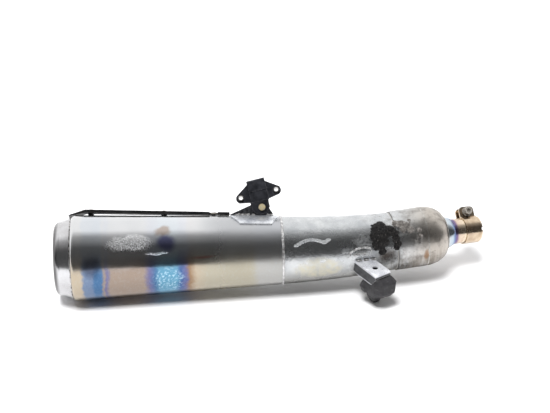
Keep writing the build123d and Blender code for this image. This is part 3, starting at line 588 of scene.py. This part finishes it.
def make_rubber():
    g = Graph("rubber", 0.0, 0.62, 0.4)
    bloom = g.noise(70, 6.0, 0.7)
    base = g.mix(g.fit(bloom, 0.38, 0.68), colour(40, 39, 41), colour(66, 65, 68))
    scuffs = g.fit(g.noise(1.0, 4.0, 0.7, g.mapped(scale=(90, 160, 320))), 0.60, 0.70)
    base = g.mix(g.times(scuffs, 0.4), base, colour(108, 106, 106))
    worn = g.times(g.edges(0.0016), g.fit(g.noise(120, 4.0), 0.35, 0.6))
    base = g.mix(g.times(worn, 0.5), base, colour(112, 110, 112))
    rough = g.fit(bloom, 0.3, 0.7, 0.5, 0.72)
    normal = g.bump(g.noise(60, 4.0, 0.6), 0.0012, 0.5)
    normal = g.bump(g.noise(650, 5.0, 0.7), 0.0004, 0.7, normal)
    return g.finish(base, rough, normal)


def make_shield_black():
    g = Graph("shield_black", 0.0, 0.4)
    dust = g.noise(60, 6.0, 0.7)
    base = g.mix(g.fit(dust, 0.40, 0.70), colour(17, 17, 18), colour(42, 41, 41))
    worn = g.times(g.edges(0.0008), g.fit(g.noise(140, 4.0), 0.4, 0.62))
    base = g.mix(g.times(worn, 0.6), base, colour(112, 110, 108))
    rough = g.fit(dust, 0.3, 0.7, 0.3, 0.5)
    normal = g.bump(g.noise(480, 4.0, 0.6), 0.0003, 0.5)
    return g.finish(base, rough, normal)


def make_inner_steel():
    """Inside of the muffler: soot over brown, baked steel."""
    g = Graph("inner_steel", 0.8, 0.6)
    layer = g.noise(60, 6.0, 0.7)
    base = g.ramp(layer, [
        (0.34, colour(34, 31, 29)), (0.52, colour(70, 58, 48)), (0.68, colour(104, 92, 82)),
    ])
    rough = g.fit(layer, 0.3, 0.7, 0.7, 0.45)
    return g.finish(base, rough, g.bump(g.noise(400, 5.0, 0.7), 0.0005, 0.7))


def make_packing():
    """Glass wool, yellowed by heat."""
    g = Graph("packing", 0.0, 0.95, 0.1)
    fibres = g.noise(1.0, 5.0, 0.7, g.mapped(scale=(120, 900, 900), turn=(12, 8, 4)))
    base = g.mix(g.fit(fibres, 0.35, 0.65), colour(196, 172, 118), colour(226, 210, 166))
    return g.finish(base, None, g.bump(fibres, 0.001, 0.8))


def make_crust():
    """Burnt-on crust: black clinker with grey and brown grains."""
    g = Graph("crust", 0.0, 0.7, 0.5)
    grain = g.noise(420, 6.0, 0.75)
    base = g.ramp(grain, [
        (0.36, colour(6, 6, 6)), (0.52, colour(16, 15, 15)), (0.60, colour(40, 38, 37)),
        (0.70, colour(150, 146, 142)),
    ])
    cells = g.cells(300)
    base = g.mix(g.fit(cells, 0.35, 0.1, 0.0, 0.6), base, colour(10, 9, 9))
    rough = g.fit(grain, 0.35, 0.65, 0.45, 0.85)
    normal = g.bump(cells, 0.0014, 0.9)
    normal = g.bump(grain, 0.0008, 0.9, normal)
    return g.finish(base, rough, normal)


material_of = {
    "can_steel": make_can_steel(),
    "cap_steel": make_cap_steel(),
    "shell_steel": make_shell_steel(),
    "weld_steel": make_weld_steel(),
    "inlet_steel": make_inlet_steel(),
    "clamp_steel": make_clamp_steel(),
    "fastener_steel": make_fastener_steel(),
    "yellow_zinc": make_yellow_zinc(),
    "saddle_steel": make_saddle_steel(),
    "tab_steel": make_tab_steel(),
    "hanger_black": make_hanger_black(),
    "sleeve_zinc": make_sleeve_zinc(),
    "rubber": make_rubber(),
    "shield_black": make_shield_black(),
    "inner_steel": make_inner_steel(),
    "packing": make_packing(),
    "crust": make_crust(),
    "bracket_steel": make_bracket_steel(),
    "weld_dull": make_weld_dull(),
    "weld_dark": make_weld_dark(),
    "deposit": make_deposit(),
}

finish_of = {
    "rear_shell": "can_steel",
    "rear_cap": "cap_steel",
    "rear_end_plate": "cap_steel",
    "outlet_tube": "inner_steel",
    "middle_shell": "shell_steel",
    "front_shell": "shell_steel",
    "front_dome": "shell_steel",
    "inlet_neck": "inlet_steel",
    "inlet_sleeve": "inlet_steel",
    "inlet_pipe": "inner_steel",
    "front_baffle": "inner_steel",
    "middle_baffle": "inner_steel",
    "transfer_tubes": "inner_steel",
    "rear_baffle": "inner_steel",
    "perforated_core": "inner_steel",
    "glass_wool_packing": "packing",
    "rear_weld": "weld_steel",
    "middle_weld": "weld_steel",
    "front_weld": "weld_steel",
    "dome_weld": "weld_steel",
    "neck_weld": "weld_steel",
    "hanger_tab_welds": "weld_steel",
    "bracket_welds": "weld_steel",
    "clamp_band": "clamp_steel",
    "clamp_washer": "fastener_steel",
    "clamp_bolt": "fastener_steel",
    "clamp_nut": "fastener_steel",
    "hanger_saddle": "saddle_steel",
    "hanger_tab": "tab_steel",
    "hanger_arm": "hanger_black",
    "hanger_flange": "hanger_black",
    "hanger_ear_sleeves": "sleeve_zinc",
    "hanger_rubber": "rubber",
    "hanger_bolt": "yellow_zinc",
    "hanger_nut": "yellow_zinc",
    "stop_bracket": "bracket_steel",
    "stop_rubber": "rubber",
    "heat_shield": "shield_black",
    "heat_shield_bosses": "saddle_steel",
    "heat_shield_washers": "fastener_steel",
    "heat_shield_screws": "fastener_steel",
}


def dress(name):
    """Gives a CAD node its material."""
    mesh = nodes[name].data
    mesh.materials.clear()
    mesh.materials.append(material_of[finish_of[name]])


for node_name in nodes:
    dress(node_name)


# ---- pieces made here ----------------------------------------------------------------------
def surface_of(*names):
    """Ray tree of CAD nodes, to lay pieces on their surface."""
    vertices = []
    faces = []
    for name in names:
        mesh = nodes[name].data
        start = len(vertices)
        vertices.extend(vertex.co.copy() for vertex in mesh.vertices)
        faces.extend([start + index for index in polygon.vertices] for polygon in mesh.polygons)
    return BVHTree.FromPolygons(vertices, faces)


def add_piece(name, vertices, faces, finish, body):
    mesh = bpy.data.meshes.new(name)
    mesh.from_pydata(vertices, [], faces)
    mesh.validate()
    mesh.update()
    mesh.polygons.foreach_set("use_smooth", [True] * len(mesh.polygons))
    mesh.materials.append(material_of[finish])
    piece = bpy.data.objects.new(name, mesh)
    bpy.context.scene.collection.objects.link(piece)
    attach(piece, body)
    return piece


chamber_start = Vector((-0.14433, -0.02898, 0.00141))     # where the front chamber begins
chamber_axis = direction(7.5, 2.8)
can_axis = Vector((1, 0, 0))
chamber_side = Vector((0, 0, 1)).cross(chamber_axis).normalized() * -1     # to the -Y side
chamber_up = chamber_axis.cross(chamber_side * -1).normalized()
chamber_radius = 0.049
ray_start = 0.090         # distance from the chamber's axis that rays to the skin start at
patch_edge_depth = 0.0002
patch_base_depth = 0.0007
front_skin = surface_of("middle_shell", "front_shell", "front_weld")


def near_lumps(along, around, lumps, ragged):
    """1 in the middle of a lump, 0 at its ragged edge, negative outside all of them."""
    wobble = ragged * noise.noise(Vector((along * 260, around * 260, 3.1)))
    wobble += ragged * 0.6 * noise.noise(Vector((along * 700, around * 700, 8.4)))
    best = -9
    for lump_along, lump_around, radius in lumps:
        apart = math.hypot(along - lump_along, around - lump_around) / radius
        best = max(best, 1 - (apart + wobble) ** 2)
    return best


def crust_height(along, around, share, thickness):
    """Clinker: rounded grains of several sizes on a swelling base."""
    grains = noise.voronoi(Vector((along * 330, around * 330, 0.5)))[0][0]
    fine = noise.noise(Vector((along * 1100, around * 1100, 4.0)))
    return thickness * (share ** 0.5) * (0.75 + 0.5 * (0.5 - grains) + 0.16 * fine)


def lay_patch(name, finish, span_along, span_around, step, lumps, ragged, thickness):
    """Closed lumpy layer on the front shells, over circles (along, around, radius)."""
    top = {}
    bottom = {}
    vertices = []
    faces = []
    across = int((span_along[1] - span_along[0]) / step)
    about = int((span_around[1] - span_around[0]) / step)
    shares = {}
    for i in range(across + 1):
        for j in range(about + 1):
            along = span_along[0] + i * step
            around = span_around[0] + j * step
            shares[i, j] = near_lumps(along, around, lumps, ragged)

    def corner(i, j):
        if (i, j) in top:
            return
        along = span_along[0] + i * step
        around = span_around[0] + j * step
        angle = around / chamber_radius
        out = chamber_side * math.cos(angle) + chamber_up * math.sin(angle)
        start = chamber_start + chamber_axis * along + out * ray_start
        hit = front_skin.ray_cast(start, -out)[0]
        if hit is None:
            hit = start - out * (ray_start - chamber_radius)
        share = shares[i, j]
        height = -patch_edge_depth
        if share > 0:
            height = crust_height(along, around, share, thickness)
        top[i, j] = len(vertices)
        vertices.append(hit + out * height)
        bottom[i, j] = len(vertices)
        vertices.append(hit - out * patch_base_depth)

    kept = set()
    for i in range(across):
        for j in range(about):
            ring = [(i, j), (i + 1, j), (i + 1, j + 1), (i, j + 1)]
            if max(shares[place] for place in ring) > 0:
                kept.add((i, j))
                for place in ring:
                    corner(*place)
    for i, j in kept:
        ring = [(i, j), (i + 1, j), (i + 1, j + 1), (i, j + 1)]
        faces.append([top[place] for place in ring])
        faces.append([bottom[place] for place in reversed(ring)])
        sides = [((i, j - 1), 0, 1), ((i + 1, j), 1, 2), ((i, j + 1), 2, 3), ((i - 1, j), 3, 0)]
        for other, first, last in sides:
            if other not in kept:
                first, last = ring[first], ring[last]
                faces.append([top[last], top[first], bottom[first], bottom[last]])
    return add_piece(name, vertices, faces, finish, "muffler")


def add_crust():
    """Burnt crust: a broad lump, and a hooked one that crosses the lap."""
    lumps = [
        (-0.036, 0.054, 0.0105), (-0.029, 0.059, 0.008), (-0.039, 0.041, 0.0115),
        (-0.027, 0.043, 0.010), (-0.037, 0.027, 0.012), (-0.029, 0.029, 0.008),
        (-0.033, 0.014, 0.0065), (-0.021, 0.050, 0.007), (-0.014, 0.049, 0.0065),
        (-0.009, 0.041, 0.0065), (-0.008, 0.031, 0.0062), (-0.0065, 0.022, 0.006),
        (-0.0085, 0.016, 0.0045), (-0.019, 0.042, 0.005),
    ]
    lay_patch("burnt_crust", "crust", (-0.055, 0.004), (0.002, 0.074), step=0.0008, lumps=lumps,
              ragged=0.20, thickness=0.0042)


def add_deposit():
    """Thin grey rough layer on top of the front chamber."""
    lumps = [
        (-0.003, 0.058, 0.006), (0.006, 0.054, 0.008), (0.014, 0.050, 0.007),
        (0.018, 0.042, 0.006), (0.006, 0.044, 0.005), (0.032, 0.040, 0.004),
        (0.033, 0.030, 0.0035), (0.020, 0.060, 0.003),
    ]
    lay_patch("grey_deposit", "deposit", (-0.012, 0.040), (0.022, 0.072), step=0.0009, lumps=lumps,
              ragged=0.45, thickness=0.0009)


def ring_of(name, axis):
    """Centre, inner and outer radius and half width of a ring node about an axis."""
    points = [vertex.co for vertex in nodes[name].data.vertices]
    low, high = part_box(name)
    middle = (low + high) / 2
    reaches = [(point - middle).dot(axis) for point in points]
    radii = [((point - middle) - axis * reach).length for point, reach in zip(points, reaches)]
    middle = middle + axis * (min(reaches) + max(reaches)) / 2
    return middle, min(radii), max(radii), (max(reaches) - min(reaches)) / 2


def add_weld_ring(name, axis, ripples, rise, finish):
    """Weld bead with the overlapping ripples that each pool leaves."""
    middle, inner, outer, half = ring_of(name, axis)
    side = Vector((0, 0, 1)).cross(axis).normalized()
    up = axis.cross(side)
    height = (outer - inner) * 0.95
    outer = outer - height * (1 - rise)
    steps = ripples * 5
    points = 8
    vertices = []
    faces = []
    for step in range(steps):
        angle = step / steps * 2 * math.pi
        out = side * math.cos(angle) + up * math.sin(angle)
        pool = (step / 5) % 1
        swell = 0.80 + 0.20 * math.sin(pool * math.pi) ** 0.6
        swell *= 0.94 + 0.12 * noise.noise(Vector((math.cos(angle) * 9, math.sin(angle) * 9, 2)))
        wander = noise.noise(Vector((math.cos(angle) * 5, math.sin(angle) * 5, 7))) * half * 0.2
        for point in range(points):
            turn = point / points * 2 * math.pi
            arc = half * 0.9 * math.cos(turn) * (0.85 + 0.15 * swell)
            reach = outer - height + height * math.sin(turn) * min(1, swell)
            vertices.append(middle + axis * (arc + wander) + out * reach)
    for step in range(steps):
        after = (step + 1) % steps
        for point in range(points):
            following = (point + 1) % points
            faces.append([step * points + point, step * points + following,
                          after * points + following, after * points + point])
    ring = add_piece(name + "_bead", vertices, faces, finish, "muffler")
    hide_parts(name)
    return ring


def add_bead_rope(name, path, radius, skin, closed=False):
    """Rope of weld along a path, in mm, on the skin, swelling and narrowing at each pool."""
    marks = [Vector(place) / 1000 for place in path]
    spans = list(zip(marks, marks[1:]))
    if closed:
        spans.append((marks[-1], marks[0]))
    line = []
    for start, end in spans:
        count = max(2, int((end - start).length / 0.0006))
        line += [start.lerp(end, i / count) for i in range(count)]
    if not closed:
        line.append(marks[-1])
    for _ in range(4):
        ends = (line[0], line[-1])
        line = [(line[i - 1] + line[i] * 2 + line[(i + 1) % len(line)]) / 4
                for i in range(len(line))]
        if not closed:
            line[0], line[-1] = ends
    seats = [skin.find_nearest(place)[:2] for place in line]
    points = 9
    vertices = []
    for i, (seat, out) in enumerate(seats):
        after = seats[(i + 1) % len(seats)][0] if closed or i + 1 < len(seats) else seat
        before = seats[i - 1][0] if closed or i else seat
        along = (after - before).normalized()
        across = out.cross(along).normalized()
        swell = radius * (0.78 + 0.30 * abs(math.sin(i * 0.42)))
        swell *= 1 + 0.35 * noise.noise(seat * 500)
        if not closed:
            swell *= min(1, 0.15 + min(i, len(seats) - 1 - i) / 2)
        centre = seat + out * radius * 0.15
        for point in range(points):
            turn = point / points * 2 * math.pi
            vertices.append(centre + (across * math.cos(turn) + out * math.sin(turn)) * swell)
    faces = []
    for i in range(len(seats) if closed else len(seats) - 1):
        following = (i + 1) % len(seats)
        for point in range(points):
            near = (point + 1) % points
            faces.append([i * points + point, i * points + near,
                          following * points + near, following * points + point])
    if not closed:
        faces.append(list(range(points)))
        faces.append([(len(seats) - 1) * points + point for point in reversed(range(points))])
    return add_piece(name, vertices, faces, "weld_steel", "muffler")


def add_extra_welds():
    """Bead where the stop bracket's root meets the shell, and blobs at the hanger tab's foot."""
    shell = surface_of("middle_shell")
    root = [(-229, -86, 8), (-224.4, -84.4, 16.8), (-213.4, -81.2, 21.5), (-203, -80, 22.5),
            (-192.8, -79.2, 20.9), (-189, -79.5, 15)]
    add_bead_rope("bracket_root_bead", root, 0.0019, shell)
    inner = [(-222, -85, 11), (-214, -84.5, 13.5), (-206, -84.3, 13), (-198, -82.5, 12)]
    add_bead_rope("bracket_inner_bead", inner, 0.0017, shell)
    saddle = surface_of("hanger_saddle")
    blobs = [(-401, -12, 57), (-389, -15, 55), (-378, -12, 56), (-354, -15, 53)]
    for count, (x, y, z) in enumerate(blobs):
        path = [(x - 3, y, z), (x + 3, y - 0.8, z)]
        add_bead_rope("tab_bead_%d" % (count + 1), path, 0.0022, saddle)


def add_softened(name, body, finish, voxel, passes, lumps, lump_scale):
    """Moulded or melted copy of a CAD node: its edges rounded and its faces slightly uneven."""
    copy = bpy.data.objects.new(name + "_soft", nodes[name].data.copy())
    bpy.context.scene.collection.objects.link(copy)
    remesh = copy.modifiers.new("remesh", "REMESH")
    remesh.mode = "VOXEL"
    remesh.voxel_size = voxel
    smooth = copy.modifiers.new("smooth", "SMOOTH")
    smooth.factor = 0.5
    smooth.iterations = passes
    graph = bpy.context.evaluated_depsgraph_get()
    mesh = bpy.data.meshes.new_from_object(copy.evaluated_get(graph))
    copy.modifiers.clear()
    copy.data = mesh
    for vertex in mesh.vertices:
        shift = noise.noise(vertex.co * lump_scale) * lumps
        vertex.co -= vertex.normal * abs(shift)
    mesh.polygons.foreach_set("use_smooth", [True] * len(mesh.polygons))
    mesh.materials.clear()
    mesh.materials.append(material_of[finish])
    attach(copy, body)
    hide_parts(name)
    return copy


add_crust()
add_deposit()
beads = (
    ("rear_weld", can_axis, 120, 1.0, "weld_dark"),
    ("middle_weld", can_axis, 110, 1.0, "weld_steel"),
    ("front_weld", chamber_axis, 90, 0.35, "weld_dull"),
    ("dome_weld", chamber_axis, 90, 0.22, "weld_dull"),
    ("neck_weld", chamber_axis, 60, 0.9, "weld_dull"),
)
for bead_name, bead_axis, bead_ripples, bead_rise, bead_finish in beads:
    add_weld_ring(bead_name, bead_axis, bead_ripples, bead_rise, bead_finish)
add_extra_welds()
add_softened("stop_rubber", "muffler", "rubber", 0.0009, 6, 0.0006, 90)
add_softened("hanger_rubber", "hanger", "rubber", 0.0008, 4, 0.0003, 120)
add_softened("hanger_tab_welds", "muffler", "weld_steel", 0.0005, 3, 0.0005, 420)
add_softened("bracket_welds", "muffler", "weld_steel", 0.0005, 3, 0.0006, 420)


# ---- floor, light and camera ---------------------------------------------------------------
def make_floor():
    g = Graph("floor", 0.0, 0.55, 0.3)
    base = g.mix(g.fit(g.noise(3, 4), 0.4, 0.6), colour(250, 250, 251), colour(247, 247, 248))
    g.finish(base, None, g.bump(g.noise(60, 3), 0.0005, 0.2))
    half = 4.0
    corners = [(-half, -half), (half, -half), (half, half), (-half, half)]
    mesh = bpy.data.meshes.new("floor")
    mesh.from_pydata([(x, y, floor_height) for x, y in corners], [], [(0, 1, 2, 3)])
    mesh.materials.append(g.material)
    floor = bpy.data.objects.new("floor", mesh)
    bpy.context.scene.collection.objects.link(floor)


def add_softbox(name, place, aim, side, power):
    lamp = bpy.data.lights.new(name, "AREA")
    lamp.shape = "SQUARE"
    lamp.size = side
    lamp.energy = power
    softbox = bpy.data.objects.new(name, lamp)
    softbox.location = place
    towards = aim - place
    softbox.rotation_mode = "QUATERNION"
    softbox.rotation_quaternion = towards.to_track_quat("-Z", "Y")
    bpy.context.scene.collection.objects.link(softbox)
    return softbox


def add_lights():
    """One soft lamp high above, in front and to the left. Reflections show the room, not the lamp."""
    middle = (cad_low + cad_high) / 2
    above = Vector((-0.7, -1.8, 4.5))
    key = add_softbox("key_softbox", middle + above, middle, side=1.5, power=290)
    key.visible_glossy = False


def make_world():
    """Pale room, bright overhead and behind the muffler and dim on the near side.

    The camera sees a plain pale backdrop in its place.
    """
    world = bpy.data.worlds.new("studio")
    bpy.context.scene.world = world
    world.use_nodes = True
    tree = world.node_tree
    tree.nodes.clear()

    def node(kind, **settings):
        made = tree.nodes.new(kind)
        for key, value in settings.items():
            setattr(made, key, value)
        return made

    split = node("ShaderNodeSeparateXYZ")
    tree.links.new(node("ShaderNodeTexCoord").outputs["Generated"], split.inputs[0])
    forward = node("ShaderNodeMath", operation="MULTIPLY")
    tree.links.new(split.outputs["Y"], forward.inputs[0])
    forward.inputs[1].default_value = -1
    turn = node("ShaderNodeMath", operation="ARCTAN2")
    tree.links.new(forward.outputs[0], turn.inputs[0])
    tree.links.new(split.outputs["Z"], turn.inputs[1])
    share = node("ShaderNodeMapRange")
    tree.links.new(turn.outputs[0], share.inputs["Value"])
    share.inputs["From Min"].default_value = -math.pi
    share.inputs["From Max"].default_value = math.pi
    bar = node("ShaderNodeValToRGB")
    # Degrees about the muffler's length: 0 is overhead, -90 behind it and 90 on the near side.
    stops = [(-180, 0.5), (-90, 1.0), (-20, 1.0), (0, 0.34), (30, 0.07), (180, 0.05)]
    elements = bar.color_ramp.elements
    while len(elements) < len(stops):
        elements.new(0.5)
    for element, (degrees, grey) in zip(elements, stops):
        element.position = (degrees + 180) / 360
        element.color = (grey, grey, grey, 1)
    tree.links.new(share.outputs["Result"], bar.inputs[0])
    room = node("ShaderNodeBackground")
    room.inputs["Strength"].default_value = 1.35
    tree.links.new(bar.outputs[0], room.inputs["Color"])
    backdrop = node("ShaderNodeBackground")
    backdrop.inputs["Color"].default_value = (0.97, 0.97, 0.97, 1)
    mixed = node("ShaderNodeMixShader")
    tree.links.new(node("ShaderNodeLightPath").outputs["Is Camera Ray"], mixed.inputs[0])
    tree.links.new(room.outputs[0], mixed.inputs[1])
    tree.links.new(backdrop.outputs[0], mixed.inputs[2])
    output = node("ShaderNodeOutputWorld")
    tree.links.new(mixed.outputs[0], output.inputs["Surface"])


camera_place = (-0.48474, -1.99754, 1.26155)
camera_turn = 4.1             # degrees from +Y towards +X
camera_elevation = 31         # degrees that it looks down


def add_camera():
    data = bpy.data.cameras.new("camera")
    data.sensor_width = 36
    data.lens = 92.6
    data.clip_end = 50
    camera = bpy.data.objects.new("camera", data)
    camera.location = camera_place
    camera.rotation_mode = "QUATERNION"
    towards = direction(90 - camera_turn, -camera_elevation)
    camera.rotation_quaternion = towards.to_track_quat("-Z", "Y")
    bpy.context.scene.collection.objects.link(camera)
    bpy.context.scene.camera = camera


make_floor()
add_lights()
make_world()
add_camera()
bpy.context.scene.view_settings.view_transform = "Standard"
